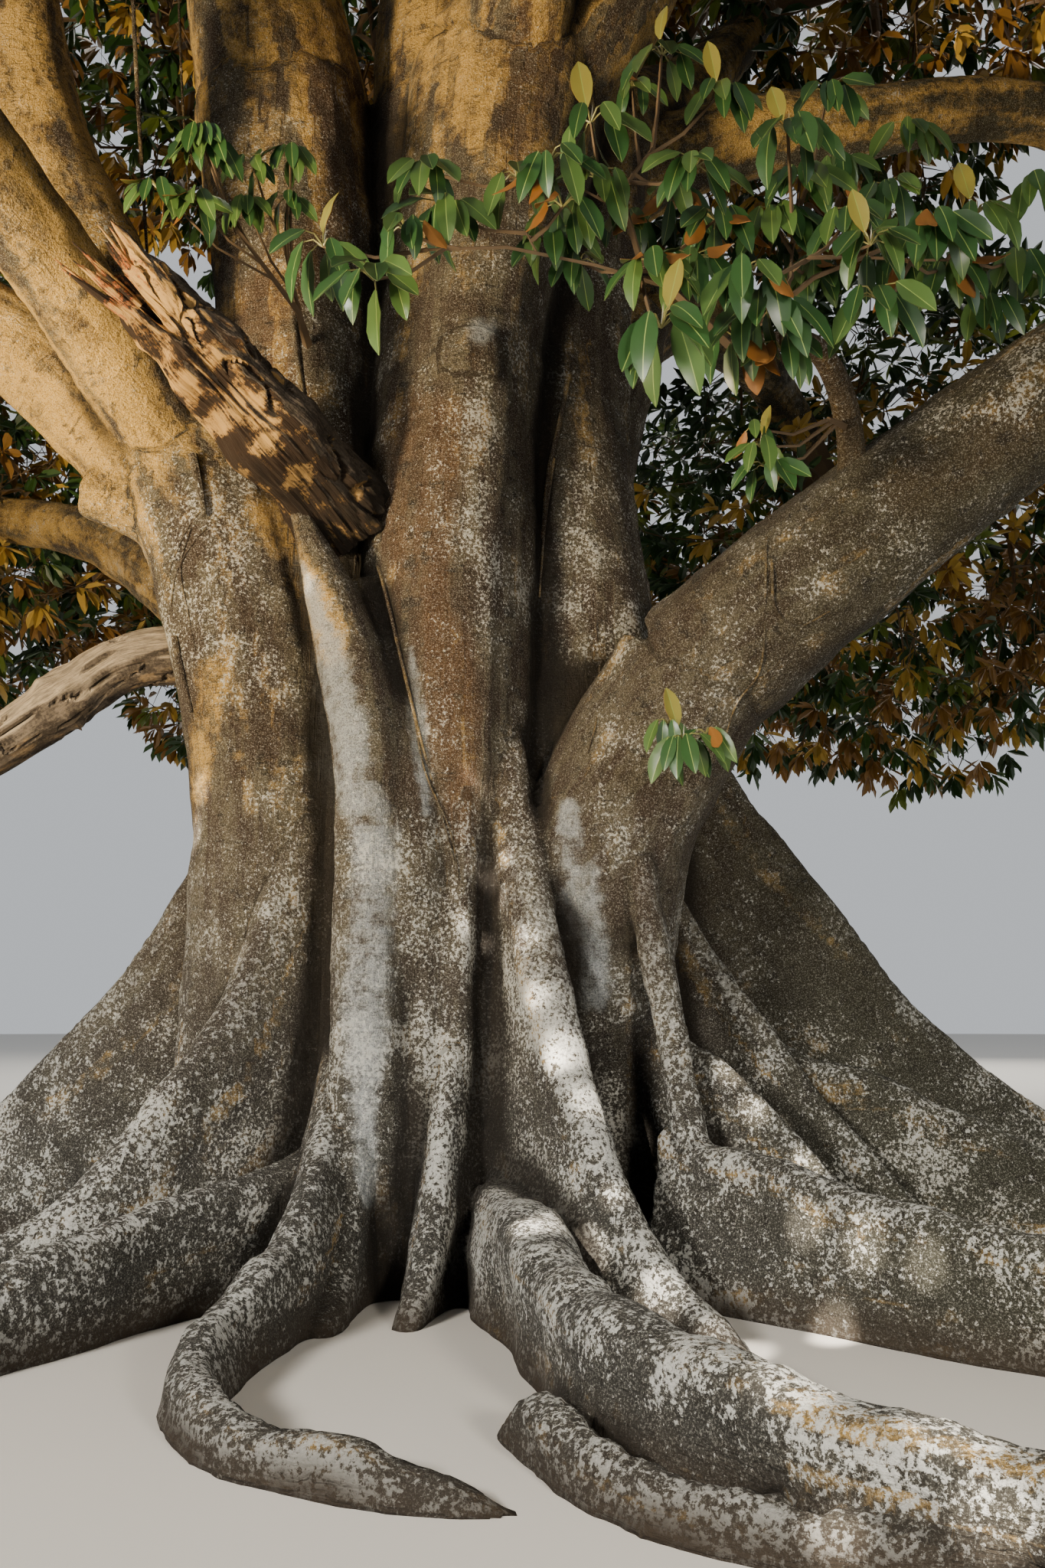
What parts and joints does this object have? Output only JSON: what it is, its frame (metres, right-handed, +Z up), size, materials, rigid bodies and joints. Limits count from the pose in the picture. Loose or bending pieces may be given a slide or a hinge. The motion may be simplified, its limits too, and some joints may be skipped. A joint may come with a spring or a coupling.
{
  "type": "banyan fig tree",
  "caption": "Old banyan-type fig tree with a fluted trunk on tall buttress roots, spreading boughs, a dead broken limb and a wide evergreen crown.",
  "frame": {"origin": "middle of the flat cut under the trunk, at ground level", "axes": "+Z up, -Y is the side that the picture shows, +X to the right in it"},
  "size_m": [27.6439, 26.5508, 20.1903],
  "materials": {
    "bark": "rough grey-brown bark with pale lichen",
    "dead_wood": "split and rotten dead wood",
    "leaves": "leathery evergreen leaves, rusty beneath"
  },
  "bodies": {
    "root": {"trunk": "bark", "bough_right": "bark", "bough_upper_right": "bark", "bough_back_right": "bark", "bough_back": "bark", "bough_back_left": "bark", "bough_left_low": "bark", "bough_front_left": "bark", "bough_front": "bark", "bough_left_high": "bark", "leader_left": "bark", "leader_centre": "bark", "leader_right": "bark", "leader_back": "bark", "leader_top": "bark", "broken_limb": "dead_wood", "dead_limb": "dead_wood", "shoot_branch": "bark", "crown_outer_1": "leaves", "crown_outer_2": "leaves", "crown_outer_3": "leaves", "crown_outer_4": "leaves", "crown_outer_5": "leaves", "crown_outer_6": "leaves", "crown_outer_7": "leaves", "crown_outer_8": "leaves", "crown_upper_1": "leaves", "crown_upper_2": "leaves", "crown_upper_3": "leaves", "crown_upper_4": "leaves", "crown_upper_5": "leaves", "crown_top_1": "leaves", "shoot_front": "leaves", "shoot_left": "leaves", "shoot_sprig": "leaves"}
  },
  "joints": []
}
